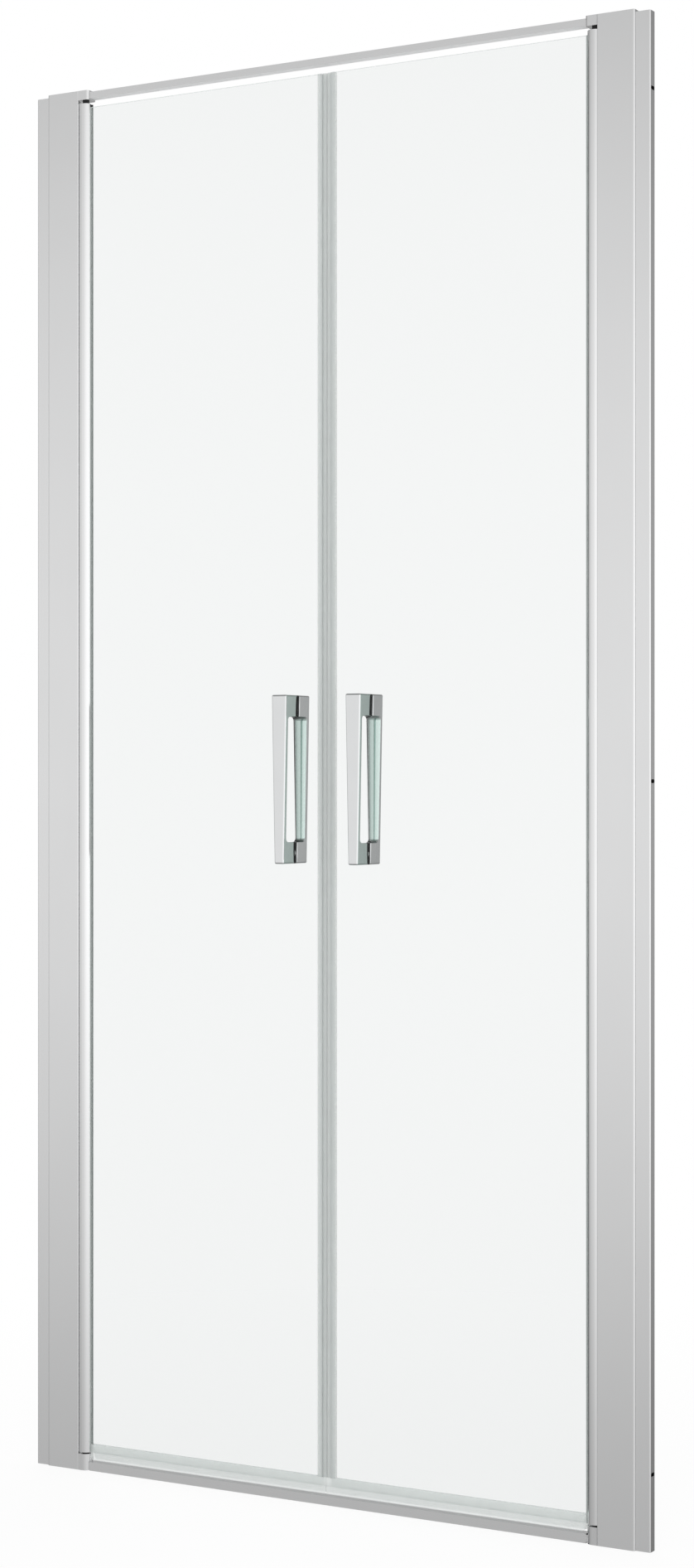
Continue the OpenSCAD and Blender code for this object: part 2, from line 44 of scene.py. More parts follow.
SIDES = ("left", "right")

# Camera: level, at half the door's height, to the right of its middle and turned to the left
CAMERA_PLACE = (1.917, -3.246, 0.945)
CAMERA_TURN = math.radians(30.18)
CAMERA_LENS = 65.95
CAMERA_SENSOR = 36.0
CAMERA_REACH = 200.0

# Rounding of the edges of each kind of piece, in millimetres, and its steps
ROUNDINGS = {
    "header_rail": (0.4, 3),
    "sill_rail": (0.4, 3),
    "header_screws": (0.2, 2),
    "sill_screws": (0.2, 2),
    "wall_profile": (0.3, 3),
    "post": (0.15, 2),
    "top_cap": (0.2, 2),
    "bottom_cap": (0.2, 2),
    "top_bush": (0.3, 2),
    "bottom_bush": (0.3, 2),
    "top_cap_screw": (0.2, 2),
    "bottom_cap_screw": (0.2, 2),
    "adjusting_screws": (0.2, 2),
    "hinge_profile": (0.2, 2),
    "glass": (0.5, 3),
    "glazing_gasket": (0.25, 2),
    "centre_seal": (0.15, 2),
    "bottom_seal": (0.15, 2),
    "handle_gaskets": (0.15, 2),
}
# Steps of the larger roundings
ROUND_STEPS = 8

# Clean-up of the copies: points nearer than this, in millimetres, become one point, and faces
# that meet at less than the first angle become one face. Below the second angle an edge looks
# smooth. Above the third it is rounded, and on the handles above the fourth
MERGE = 0.001
FLAT_ANGLE = math.radians(0.5)
SMOOTH_ANGLE = math.radians(30)
EDGE_ANGLE = math.radians(35)
RIM_ANGLE = math.radians(40)
# Slots of the pieces with broad flat faces, which must not look bent by their rounded edges
BROAD_SLOTS = ("satin_aluminium", "satin_cap")
FLATNESS = 80

# Play when points are picked by their place, in millimetres
PLAY = 0.01
SIDE_PLAY = 0.05
WIDE_PLAY = 0.2

# Profiles with well rounded outer edges: how far out and how deep they reach, and the rounding
OUTSIDES = {
    "wall_profile": (465.0, 7.0, 1.8),
    "post": (445.0, 10.0, 2.3),
}
# The box that trims them: where it begins, how far it stands off the faces, and its ends
TRIM_X = 300.0
TRIM_PLAY = 0.003
TRIM_Z = (-5.0, 1905.0)

# The caps' noses, in millimetres: from the header's end to the post, and half their depth
NOSE_X = (377.5, 393.97)
NOSE_Y = 10.0
NOSE_ROUND = 4.0
TOP_CAP_Z = (1887.0, 1900.0)
BOTTOM_CAP_Z = (0.0, 22.5)
# The hole for the bush on the hinge's axis
HINGE_X = 387.5
BUSH_R = 4.53
BUSH_DEPTH = 8.53
BORE_PAST = 1.0
BORE_SIDES = 64

# How much further the bottom seals reach towards the hinge than their solids, over which length
# this end is moved, and how near the middle the other end lies
SEAL_REACH = 4.0
SEAL_END = 8.0
SEAL_MEET = 0.5
# How far from the middle the centre seals' legs begin
LEG_X = 10.5

# The panes' edges are the faces that point less than this share to the front or the back. Beyond
# this distance from the middle, and below this height, in millimetres, they are clear
EDGE_FACING = 0.99
CLEAR_EDGE_X = 380.0
CLEAR_EDGE_Z = 30.0
# The header's underside is the faces that point down by more than this share
DOWNWARDS = -0.5

# A handle half, in millimetres: its middle, its ends, half its width at both ends, its depths
# from the pad to the front, and its window
HANDLE_X = 56.0
HANDLE_Z = (840.0, 1062.0)
HANDLE_W = (7.0, 11.25)
HANDLE_PAD = 4.0
HANDLE_FRONT = 31.5
WINDOW_Z = (868.0, 1034.0)
# The tool for the window: its width as a share of the handle's, and how far it stays behind
# the front
WINDOW_OVER = 1.1
WINDOW_SKIN = 3.0
# Thickness of the grip bar in its middle, and its round back as an oval rod: the rod's depth,
# its width as a share of the handle's, and its sides
GRIP_THICK = 9.5
GRIP_OVAL = 8.0
GRIP_SPREAD = 1.2
GRIP_SIDES = 144
GRIP_EDGE = 2.75
GRIP_EDGE_PROFILE = 0.33
# The grip's back edges lie this far behind the front, and each is longer than this
GRIP_BEHIND = 4.0
GRIP_EDGE_LONG = 20.0
# Rounding of the outline and its steps, also on the pads, of the window's ends and the turn of
# one step in degrees, and of the rim and its steps
HANDLE_ROUND = 2.0
HANDLE_STEPS = 6
PAD_STEPS = 5
WINDOW_ROUND = 5.5
WINDOW_TURN = 10
RIM_ROUND = 0.25
RIM_STEPS = 2
# Grub screw holes in the inner halves: depth of their axis, radius, length, sides and top ends
GRUB_Y = 16.0
GRUB_R = 2.03
GRUB_LENGTH = 16.0
GRUB_SIDES = 32
GRUB_TOPS = (854.0, 1048.0)

# Grain of the metals: how fine it is across and along the height, and how fine its clouds are
GRAIN_SOCKETS = ("Across", "Along", "Cloud")
EXTRUDED = (900.0, 6.0, 9.0)
EXTRUDED_LEVEL = (6.0, 900.0, 9.0)
CAST = (500.0, 500.0, 20.0)
POLISHED = (300.0, 300.0, 30.0)
TURNED = (600.0, 600.0, 60.0)
GROUND = (900.0, 900.0, 60.0)
# Fineness of the speckle, and of the slow change of tint over plastic, panes and seals
SPECKLE_FINE = 1200.0
PLASTIC_CHANGE = 14.0
PANE_CHANGE = 1.3
SEAL_CHANGE = 30.0
# Depth of the surface marks, in millimetres
MARK_DEPTH = 0.02
# Darker and lighter tone of the satin metal
SATIN = ((0.91, 0.912, 0.915), (0.94, 0.942, 0.945))

# Floor: its size, its grey, and its share of plain white, which rises from the door outwards
FLOOR_SIZE = 60.0
FLOOR_GREY = 0.95
FLOOR_ROUGH = 0.9
FLOOR_FADE = {"From Min": 0.3, "From Max": 1.6, "To Min": 0.90, "To Max": 1.0}

# Softboxes: name, place and power. Both are square and aimed at the door's middle
SOFTBOXES = (
    ("key_softbox", (2.2, -3.6, 2.4), 60),
    ("back_softbox", (-2.4, 3.2, 2.4), 40),
)
SOFTBOX_SIZE = 2.4
SOFTBOX_TARGET = (0, 0, 0.9)

# Brightness of the studio for dull surfaces
FILL_LEVEL = 0.75
# Brightness of the studio in reflections, as (place, share of its level): by height from
# straight down 0 to straight up 1, and by heading round the door from the left, past the
# front and the right, to behind the door and back
STUDIO_LEVEL = 1.08
STUDIO_HEIGHT = (
    (0.0, 0.34), (0.16, 0.40), (0.22, 0.52), (0.30, 0.58), (0.345, 0.50), (0.38, 0.55),
    (0.41, 0.72), (0.45, 0.91), (0.48, 1.0), (0.55, 1.0), (0.59, 0.91), (0.625, 0.76),
    (0.66, 0.57), (0.72, 0.48), (0.80, 0.44), (0.86, 0.26), (1.0, 0.22),
)
STUDIO_ROUND = (
    (0.0, 0.35), (0.06, 0.58), (0.11, 0.67), (0.15, 0.71), (0.18, 0.735), (0.21, 0.75),
    (0.25, 0.79), (0.30, 0.88), (0.36, 0.97), (0.43, 1.0), (0.54, 1.0), (0.56, 0.92),
    (0.594, 0.64), (0.65, 0.44), (0.667, 0.33), (0.683, 0.30), (0.71, 0.38), (0.75, 0.52),
    (0.87, 0.50), (0.882, 0.10), (0.895, 0.0), (0.955, 0.0), (0.98, 0.12), (1.0, 0.29),
)


# Shader node helpers

# Sockets of a Mix node that mixes colours: two inputs and the result
MIX_FIRST = 6
MIX_SECOND = 7
MIX_RESULT = 2


def new_group(name, inputs, outputs):
    """An empty shader group with float sockets, and its two end nodes."""
    group = bpy.data.node_groups.new(name, "ShaderNodeTree")
    for label, value in inputs.items():
        socket = group.interface.new_socket(label, in_out="INPUT", socket_type="NodeSocketFloat")
        socket.default_value = value
    for label in outputs:
        group.interface.new_socket(label, in_out="OUTPUT", socket_type="NodeSocketFloat")
    start = group.nodes.new("NodeGroupInput")
    end = group.nodes.new("NodeGroupOutput")
    return group, start.outputs, end.inputs


def add_node(tree, kind, links=(), **settings):
    """One node with its settings, and its inputs joined to sockets or set to values."""
    node = tree.nodes.new(kind)
    for key, value in settings.items():
        setattr(node, key, value)
    for socket, source in dict(links).items():
        if isinstance(source, bpy.types.NodeSocket):
            tree.links.new(source, node.inputs[socket])
        else:
            node.inputs[socket].default_value = source
    return node


def object_place(tree):
    """The place on the piece, in metres."""
    return add_node(tree, "ShaderNodeTexCoord").outputs["Object"]


def noise(tree, place, scale, detail, roughness):
    """Noise from 0 to 1."""
    return add_node(
        tree, "ShaderNodeTexNoise",
        {"Vector": place, "Scale": scale, "Detail": detail, "Roughness": roughness},
    ).outputs["Fac"]


def map_range(tree, value, low, high):
    """Maps 0..1 to low..high."""
    return add_node(
        tree, "ShaderNodeMapRange", {"Value": value, "To Min": low, "To Max": high}
    ).outputs["Result"]


def calculate(tree, operation, first, second):
    """One calculation with two values."""
    return add_node(
        tree, "ShaderNodeMath", {0: first, 1: second}, operation=operation
    ).outputs[0]


def mix_colours(tree, share, first, second, blend="MIX"):
    """Two colours mixed by a share of the second."""
    return add_node(
        tree, "ShaderNodeMix", {"Factor": share, MIX_FIRST: first, MIX_SECOND: second},
        data_type="RGBA", blend_type=blend,
    ).outputs[MIX_RESULT]


def mix_shaders(tree, share, first, second):
    """Two shaders mixed by a share of the second."""
    return add_node(
        tree, "ShaderNodeMixShader", {0: share, 1: first, 2: second}
    ).outputs["Shader"]


def ramp(tree, value, stops):
    """A grey ramp with its stops as (place, value)."""
    node = add_node(tree, "ShaderNodeValToRGB", {"Fac": value})
    elements = node.color_ramp.elements
    while len(elements) > 1:
        elements.remove(elements[-1])
    for i, (place, grey) in enumerate(stops):
        element = elements[0] if i == 0 else elements.new(place)
        element.position = place
        element.color = (grey, grey, grey, 1.0)
    return node.outputs["Color"]


def grain_group():
    """Fine drawn lines along one direction, with a cloudy change of gloss: for extruded metal."""
    values = dict(zip(GRAIN_SOCKETS, EXTRUDED))
    group, start, end = new_group("drawn_grain", values, ("Lines", "Cloud"))
    place = object_place(group)
    size = add_node(
        group, "ShaderNodeCombineXYZ",
        {"X": start["Across"], "Y": start["Across"], "Z": start["Along"]},
    ).outputs["Vector"]
    stretched = add_node(
        group, "ShaderNodeVectorMath", {0: place, 1: size}, operation="MULTIPLY"
    ).outputs["Vector"]
    lines = noise(group, stretched, scale=1.0, detail=3.0, roughness=0.65)
    cloud = noise(group, place, scale=start["Cloud"], detail=2.0, roughness=0.5)
    group.links.new(lines, end["Lines"])
    group.links.new(cloud, end["Cloud"])
    return group


def speckle_group():
    """Very fine even speckle with a slow change over it: for moulded plastic, rubber and glass."""
    values = {"Fine": SPECKLE_FINE, "Slow": PLASTIC_CHANGE}
    group, start, end = new_group("moulded_speckle", values, ("Speckle", "Slow"))
    place = object_place(group)
    fine = noise(group, place, scale=start["Fine"], detail=2.0, roughness=0.6)
    slow = noise(group, place, scale=start["Slow"], detail=3.0, roughness=0.55)
    group.links.new(fine, end["Speckle"])
    group.links.new(slow, end["Slow"])
    return group


GRAIN = grain_group()
SPECKLE = speckle_group()


def marks_of(tree, group, **values):
    """The outputs of one of the two groups, with some of its values changed."""
    return add_node(tree, "ShaderNodeGroup", values, node_tree=group).outputs


# Finishes

def new_material(name, **values):
    """A material with its node tree, its Principled shader with some values, and its output."""
    material = bpy.data.materials.new(name)
    material.use_nodes = True
    tree = material.node_tree
    shader = tree.nodes["Principled BSDF"]
    for socket, value in values.items():
        shader.inputs[socket].default_value = value
    return material, tree, shader, tree.nodes["Material Output"]


def two_tone(tree, mask, low, high):
    """A colour between two by a mask."""
    return mix_colours(tree, mask, (*low, 1.0), (*high, 1.0))


def vary(tree, shader, socket, mask, low, high):
    """A value between low and high by a mask."""
    tree.links.new(map_range(tree, mask, low, high), shader.inputs[socket])


def bump(tree, shader, height, strength):
    """Surface marks by a height."""
    node = add_node(
        tree, "ShaderNodeBump",
        {"Strength": strength, "Distance": MARK_DEPTH * MM, "Height": height},
    )
    tree.links.new(node.outputs["Normal"], shader.inputs["Normal"])


def metal(name, low, high, rough, grain=EXTRUDED, relief=0.12, metallic=1.0):
    """Metal with drawn lines: colour between low and high, roughness between two values."""
    material, tree, shader, _ = new_material(name, Metallic=metallic)
    marks = marks_of(tree, GRAIN, **dict(zip(GRAIN_SOCKETS, grain)))
    tree.links.new(two_tone(tree, marks["Cloud"], low, high), shader.inputs["Base Color"])
    vary(tree, shader, "Roughness", marks["Lines"], *rough)
    bump(tree, shader, marks["Lines"], relief)
    return material


def moulded(name, low, high, rough, relief=0.1, **extra):
    """Moulded plastic or rubber: colour between low and high, roughness between two values."""
    material, tree, shader, _ = new_material(name, **extra)
    marks = marks_of(tree, SPECKLE)
    tree.links.new(two_tone(tree, marks["Slow"], low, high), shader.inputs["Base Color"])
    vary(tree, shader, "Roughness", marks["Slow"], *rough)
    bump(tree, shader, marks["Speckle"], relief)
    return material


def seal_material(name, low, high, alpha, rough):
    """Soft clear plastic: each wall veils what lies behind it."""
    material, tree, shader, _ = new_material(name, **{"IOR": 1.45, "Specular IOR Level": 0.3})
    slow = marks_of(tree, SPECKLE, Slow=SEAL_CHANGE)["Slow"]
    tree.links.new(two_tone(tree, slow, low, high), shader.inputs["Base Color"])
    vary(tree, shader, "Roughness", slow, *rough)
    vary(tree, shader, "Alpha", slow, *alpha)
    return material


def glass_material(name, low, high, rough, shadow, painted_reflection_tint):
    """Clear glass: its tint changes a little over the pane. Where the pane is seen in a reflection
    it takes a greener tint, a painted green cast in that reflection.
    """
    values = {"Transmission Weight": 1.0, "IOR": 1.5}
    material, tree, shader, output = new_material(name, **values)
    slow = marks_of(tree, SPECKLE, Slow=PANE_CHANGE)["Slow"]
    # Painted reflection: by the Glossy Depth the pane shows the greener tint only in what reflects
    # it
    depth = add_node(tree, "ShaderNodeLightPath").outputs["Glossy Depth"]
    tint = mix_colours(tree, depth, two_tone(tree, slow, low, high), (*painted_reflection_tint, 1.0))
    tree.links.new(tint, shader.inputs["Base Color"])
    vary(tree, shader, "Roughness", slow, *rough)
    let_light_through(tree, output, shader, shadow)
    return material


def let_light_through(tree, output, shader, colour):
    """Shadow rays pass a clear piece with this tint, so that it shades what is behind it little."""
    clear = add_node(tree, "ShaderNodeBsdfTransparent", {"Color": (*colour, 1.0)})
    path = add_node(tree, "ShaderNodeLightPath").outputs
    light = calculate(tree, "MAXIMUM", path["Is Shadow Ray"], path["Is Diffuse Ray"])
    surface = mix_shaders(tree, light, shader.outputs["BSDF"], clear.outputs["BSDF"])
    tree.links.new(surface, output.inputs["Surface"])


# One finish for each slot of the record
FINISHES = {
    "satin_aluminium": metal("satin_aluminium", *SATIN, (0.17, 0.23)),
    "satin_cap": metal("satin_cap", *SATIN, (0.12, 0.17), CAST),
    "chrome_handle": metal(
        "chrome_handle", (0.87, 0.88, 0.885), (0.91, 0.92, 0.925), (0.03, 0.07), POLISHED, 0.02
    ),
    "steel_screw": metal(
        "steel_screw", (0.50, 0.51, 0.52), (0.60, 0.61, 0.62), (0.25, 0.38), TURNED
    ),
    "steel_pin": metal(
        "steel_pin", (0.58, 0.59, 0.60), (0.66, 0.67, 0.68), (0.15, 0.25), GROUND
    ),
    "black_bush": moulded(
        "black_bush", (0.010, 0.010, 0.011), (0.018, 0.018, 0.019), (0.45, 0.6)
    ),
    "black_rubber": moulded(
        "black_rubber", (0.012, 0.013, 0.013), (0.022, 0.023, 0.023), (0.55, 0.7)
    ),
    "pale_sleeve": moulded("pale_sleeve", (0.62, 0.63, 0.63), (0.70, 0.71, 0.71), (0.35, 0.5)),
    "clear_gasket": seal_material(
        "clear_gasket", (0.40, 0.43, 0.42), (0.46, 0.49, 0.48), (0.78, 0.86), (0.3, 0.45)
    ),
    "clear_seal": seal_material(
        "clear_seal", (0.61, 0.64, 0.63), (0.65, 0.68, 0.67), (0.40, 0.46), (0.35, 0.45)
    ),
    # The pane's last colour is the greener tint painted into its reflections
    "clear_glass": glass_material(
        "clear_glass", (0.918, 0.930, 0.927), (0.926, 0.936, 0.933), (0.0, 0.012),
        (0.92, 0.935, 0.93), (0.82, 0.96, 0.91),
    ),
}
# Finishes that some kinds of piece have instead of their slot's, or on some of their faces
BRIGHT_TUBE = metal("bright_tube", *SATIN, (0.07, 0.11))
SWEEP = seal_material(
    "clear_sweep", (0.80, 0.83, 0.82), (0.85, 0.88, 0.87), (0.38, 0.44), (0.35, 0.45)
)
SEAL_LEG = seal_material(
    "clear_seal_leg", (0.64, 0.67, 0.66), (0.68, 0.71, 0.70), (0.05, 0.08), (0.35, 0.45)
)
# Painted light: a pale non-metal finish for the header's underside, lighter than the rail's satin
# metal, in place of the bright reflection it shows
UNDERSIDE_PAINTED_LIGHT = metal(
    "rail_underside_painted_light", (0.78, 0.782, 0.785), (0.82, 0.822, 0.825), (0.45, 0.55), EXTRUDED_LEVEL,
    metallic=0.0,
)
GROUND_EDGE = moulded(
    "matt_glass_edge", (0.80, 0.85, 0.84), (0.84, 0.89, 0.88), (0.5, 0.65), 0.15, Alpha=0.5
)
# The edges' last colour is the greener tint painted into their reflections
GLASS_EDGE = glass_material(
    "ground_glass_edge", (0.74, 0.83, 0.80), (0.80, 0.88, 0.85), (0.12, 0.25),
    (0.7, 0.8, 0.77), (0.7, 0.82, 0.77),
)


# Modelling helpers: places and lengths are in millimetres

def select_only(piece):
    bpy.ops.object.select_all(action="DESELECT")
    piece.select_set(True)
    bpy.context.view_layer.objects.active = piece


def apply_modifier(piece, kind, **settings):
    """Adds one modifier and applies it."""
    modifier = piece.modifiers.new(kind.title(), kind)
    for key, value in settings.items():
        setattr(modifier, key, value)
    select_only(piece)
    bpy.ops.object.modifier_apply(modifier=modifier.name)


def combine(piece, operation, tool):
    """A boolean operation with a tool, which is used up."""
    apply_modifier(piece, "BOOLEAN", operation=operation, solver="EXACT", object=tool)
    bpy.data.objects.remove(tool)


def add_box(low, high):
    """A box between two corners."""
    bpy.ops.object.select_all(action="DESELECT")
    middle = [(a + b) / 2 * MM for a, b in zip(low, high)]
    bpy.ops.mesh.primitive_cube_add(size=1.0, location=middle)
    box = bpy.context.object
    box.scale = [abs(b - a) * MM for a, b in zip(low, high)]
    bpy.ops.object.transform_apply(location=True, rotation=True, scale=True)
    return box


def add_rod(x, y, z_low, z_high, wide, deep, sides):
    """An upright rod with an oval section, half as wide and deep as given."""
    bpy.ops.object.select_all(action="DESELECT")
    middle = (x * MM, y * MM, (z_low + z_high) / 2 * MM)
    bpy.ops.mesh.primitive_cylinder_add(vertices=sides, radius=1.0, depth=1.0, location=middle)
    rod = bpy.context.object
    rod.scale = (wide * MM, deep * MM, (z_high - z_low) * MM)
    bpy.ops.object.transform_apply(location=True, rotation=True, scale=True)
    return rod


def pick(piece, mode, wanted):
    """Enters edit mode with the vertices or edges selected for which wanted is true."""
    select_only(piece)
    bpy.ops.object.mode_set(mode="EDIT")
    bpy.ops.mesh.select_mode(type=mode)
    bpy.ops.mesh.select_all(action="DESELECT")
    bpy.ops.object.mode_set(mode="OBJECT")
    mesh = piece.data
    points = [vertex.co / MM for vertex in mesh.vertices]
    if mode == "VERT":
        for vertex in mesh.vertices:
            vertex.select = wanted(points[vertex.index])
    else:
        for edge in mesh.edges:
            edge.select = wanted(*[points[i] for i in edge.vertices])
    bpy.ops.object.mode_set(mode="EDIT")


def round_edges(piece, radius, steps, wanted, profile=0.5):
    """Rounds the edges for which wanted is true."""
    pick(piece, "EDGE", wanted)
    bpy.ops.mesh.bevel(
        offset=radius * MM, segments=steps, profile=profile, affect="EDGES", clamp_overlap=False
    )
    bpy.ops.object.mode_set(mode="OBJECT")


def taper(piece, x, share):
    """Draws the piece's lower end in towards x."""
    low = min(vertex.co.z for vertex in piece.data.vertices) / MM
    pick(piece, "VERT", lambda point: point.z < low + PLAY)
    bpy.ops.transform.resize(value=(share, 1, 1), center_override=(x * MM, 0, 0))
    bpy.ops.object.mode_set(mode="OBJECT")


def upright(a, b):
    """True for an edge that climbs by more than a millimetre."""
    return abs(a.z - b.z) > 1.0


# Copies of the solids

slot_of = {part["node"]: part["material_slot"] for part in frame["record"]["subparts"]}
body_of = {
    node: body for body, nodes in frame["record"]["behaviour"]["bodies"].items() for node in nodes
}


def kind_of(node):
    """The node's name without its side."""
    side, _, kind = node.partition("_")
    return kind if side in SIDES else node


def side_of(node):
    """-1 at the left, 1 elsewhere."""
    return -1 if node.startswith("left") else 1


def stand_for(piece, node):
    """The piece takes the node's place, finish and movement."""
    piece.data.materials.clear()
    piece.data.materials.append(FINISHES[slot_of[node]])
    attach(piece, body_of[node])
    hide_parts(node)


def round_outside(piece, side, reach, depth, radius):
    """Rounds the two long edges of a profile that face away from the door's middle."""
    ends = sorted((side * TRIM_X, side * (reach + TRIM_PLAY)))
    depth = depth + TRIM_PLAY
    tool = add_box((ends[0], -depth, TRIM_Z[0]), (ends[1], depth, TRIM_Z[1]))
    round_edges(
        tool, radius, ROUND_STEPS,
        lambda a, b: min(abs(a.x), abs(b.x)) > reach and upright(a, b),
    )
    combine(piece, "INTERSECT", tool)


def fill_nose(piece, kind, side):
    """Carries a cap's nose up to the post; the top one gets a flat front and round corners."""
    top = kind == "top_cap"
    low, high = TOP_CAP_Z if top else BOTTOM_CAP_Z
    near = NOSE_X[0] if top else HINGE_X
    ends = sorted((side * near, side * NOSE_X[1]))
    nose = add_box((ends[0], -NOSE_Y, low), (ends[1], NOSE_Y, high))
    if top:
        round_edges(
            nose, NOSE_ROUND, ROUND_STEPS,
            lambda a, b: max(abs(a.x), abs(b.x)) < near + WIDE_PLAY and upright(a, b),
        )
    bore = (low - BORE_PAST, low + BUSH_DEPTH) if top else (high - BUSH_DEPTH, high + BORE_PAST)
    combine(nose, "DIFFERENCE", add_rod(side * HINGE_X, 0, *bore, BUSH_R, BUSH_R, BORE_SIDES))
    combine(piece, "UNION", nose)


def join_flat_faces(piece):
    """Makes one face of the solid's triangles that lie in one plane."""
    select_only(piece)
    bpy.ops.object.mode_set(mode="EDIT")
    bpy.ops.mesh.select_all(action="SELECT")
    bpy.ops.mesh.remove_doubles(threshold=MERGE * MM)
    bpy.ops.mesh.dissolve_limited(angle_limit=FLAT_ANGLE)
    bpy.ops.mesh.normals_make_consistent(inside=False)
    bpy.ops.object.mode_set(mode="OBJECT")


def round_pads(piece):
    """Rounds the corners of the rubber pads like those of the handles on them."""
    def at_corner(a, b):
        beside = abs(abs(a.x) - HANDLE_X) > handle_width(a.z) - WIDE_PLAY
        at_end = min(abs(a.z - z) for z in HANDLE_Z) < WIDE_PLAY
        through = abs(a.y - b.y) > 0.5 and abs(a.z - b.z) < PLAY
        return beside and at_end and through

    round_edges(piece, HANDLE_ROUND, PAD_STEPS, at_corner)


def reach_out(seal, side):
    """Carries the ends of a bottom seal towards the hinge and the other wing."""
    reaches = [abs(vertex.co.x) / MM for vertex in seal.data.vertices]
    near, far = min(reaches), max(reaches)
    for wanted, move in (
        (lambda point: abs(point.x) > far - SEAL_END, SEAL_REACH),
        (lambda point: abs(point.x) < near + WIDE_PLAY, SEAL_MEET - near),
    ):
        pick(seal, "VERT", wanted)
        bpy.ops.transform.translate(value=(side * move * MM, 0, 0))
        bpy.ops.object.mode_set(mode="OBJECT")


def finished_copy(node, width, steps):
    """A copy of a node's solid with its flat faces joined and its sharp edges rounded."""
    kind = kind_of(node)
    side = side_of(node)
    piece = bpy.data.objects.new(f"{node}_finished", frame["nodes"][node].data.copy())
    bpy.context.scene.collection.objects.link(piece)
    if kind in OUTSIDES:
        round_outside(piece, side, *OUTSIDES[kind])
    if kind in ("top_cap", "bottom_cap"):
        fill_nose(piece, kind, side)
    join_flat_faces(piece)
    if kind == "handle_gaskets":
        round_pads(piece)
    if kind == "bottom_seal":
        reach_out(piece, side)
    select_only(piece)
    bpy.ops.object.shade_smooth_by_angle(angle=SMOOTH_ANGLE)
    apply_modifier(
        piece, "BEVEL", width=width * MM, segments=steps, limit_method="ANGLE",
        angle_limit=EDGE_ANGLE, use_clamp_overlap=True, harden_normals=True,
    )
    if slot_of[node] in BROAD_SLOTS:
        apply_modifier(piece, "WEIGHTED_NORMAL", weight=FLATNESS, keep_sharp=True)
    stand_for(piece, node)
    return piece


def paint_faces(piece, finish, wanted):
    """A further finish on the faces for which wanted is true."""
    piece.data.materials.append(finish)
    number = len(piece.data.materials) - 1
    for face in piece.data.polygons:
        if wanted(face):
            face.material_index = number


def grind_edges(pane):
    """What doesn't face front or back is matt, with a cut edge's green at the hinge and below."""
    def is_edge(face):
        return abs(face.normal.y) < EDGE_FACING

    def is_clear(face):
        return abs(face.center.x) > CLEAR_EDGE_X * MM or face.center.z < CLEAR_EDGE_Z * MM

    paint_faces(pane, GLASS_EDGE, lambda face: is_edge(face) and is_clear(face))
    paint_faces(pane, GROUND_EDGE, lambda face: is_edge(face) and not is_clear(face))


def paint_underside_light(rail):
    """The header's lower face gets a pale non-metal finish: painted light in place of the bright
    reflection of its metal.
    """
    paint_faces(rail, UNDERSIDE_PAINTED_LIGHT, lambda face: face.normal.z < DOWNWARDS)


def clear_legs(seal):
    """The legs on the glass are thinner and clearer than the bead."""
    paint_faces(seal, SEAL_LEG, lambda face: abs(face.center.x) > LEG_X * MM)


def lighten_sweep(seal):
    """The bottom seal is paler than the centre seal."""
    seal.data.materials[0] = SWEEP


def polish_tube(profile):
    """The hinge profile is brighter than the posts."""
    profile.data.materials[0] = BRIGHT_TUBE


# What is done to the finish of some kinds of piece
REFINEMENTS = {
    "glass": grind_edges,
    "header_rail": paint_underside_light,
    "centre_seal": clear_legs,
    "bottom_seal": lighten_sweep,
    "hinge_profile": polish_tube,
}


def paint_nodes():
    """Every solid of the frame gets its finish."""
    for node, solid in frame["nodes"].items():
        solid.data.materials.clear()
        solid.data.materials.append(FINISHES[slot_of[node]])


def finish_nodes():
    """Every solid that shows is stood for by a copy with rounded edges."""
    for node in sorted(frame["nodes"]):
        kind = kind_of(node)
        if kind in ROUNDINGS:
            piece = finished_copy(node, *ROUNDINGS[kind])
            if kind in REFINEMENTS:
                REFINEMENTS[kind](piece)


# Handles

def handle_width(z):
    """Half the handle's width at a height."""
    share = (z - HANDLE_Z[0]) / (HANDLE_Z[1] - HANDLE_Z[0])
    return HANDLE_W[0] + share * (HANDLE_W[1] - HANDLE_W[0])


def flare(rod, x, y, end, way, wide, deep):
    """Widens one end of an oval rod like a horn, so that it leaves a round inner corner."""
    pick(rod, "VERT", lambda point: abs(point.z - end) < PLAY)
    grown, risen = 0.0, 0.0
    turns = [math.radians(turn) for turn in range(WINDOW_TURN, 90, WINDOW_TURN)]
    stations = [(1 - math.cos(turn), math.sin(turn)) for turn in turns] + [(1.0, 2.0)]
    for grow, rise in stations:
        grow, rise = grow * WINDOW_ROUND, rise * WINDOW_ROUND
        bpy.ops.mesh.extrude_region_move(
            TRANSFORM_OT_translate={"value": (0, 0, way * (rise - risen) * MM)}
        )
        share = ((wide + grow) / (wide + grown), (deep + grow) / (deep + grown), 1)
        bpy.ops.transform.resize(value=share, center_override=(x * MM, y * MM, 0))
        grown, risen = grow, rise
    bpy.ops.object.mode_set(mode="OBJECT")


def window_tool(x, way):
    """What is cut out for the fingers: a tapered box that leaves the grip bar a round back."""
    low, high = WINDOW_Z
    wide = WINDOW_OVER * handle_width(high)
    tool = add_box((x - wide, 0, low), (x + wide, way * (HANDLE_FRONT - WINDOW_SKIN), high))
    taper(tool, x, handle_width(low) / handle_width(high))
    low, high = low + WINDOW_ROUND, high - WINDOW_ROUND
    y = way * (HANDLE_FRONT - GRIP_THICK + GRIP_OVAL)
    widths = [GRIP_SPREAD * handle_width(z) for z in (low, high)]
    rod = add_rod(x, y, low, high, widths[1], GRIP_OVAL, GRIP_SIDES)
    taper(rod, x, widths[0] / widths[1])
    flare(rod, x, y, low, -1, widths[0], GRIP_OVAL)
    flare(rod, x, y, high, 1, widths[1], GRIP_OVAL)
    combine(tool, "DIFFERENCE", rod)
    return tool


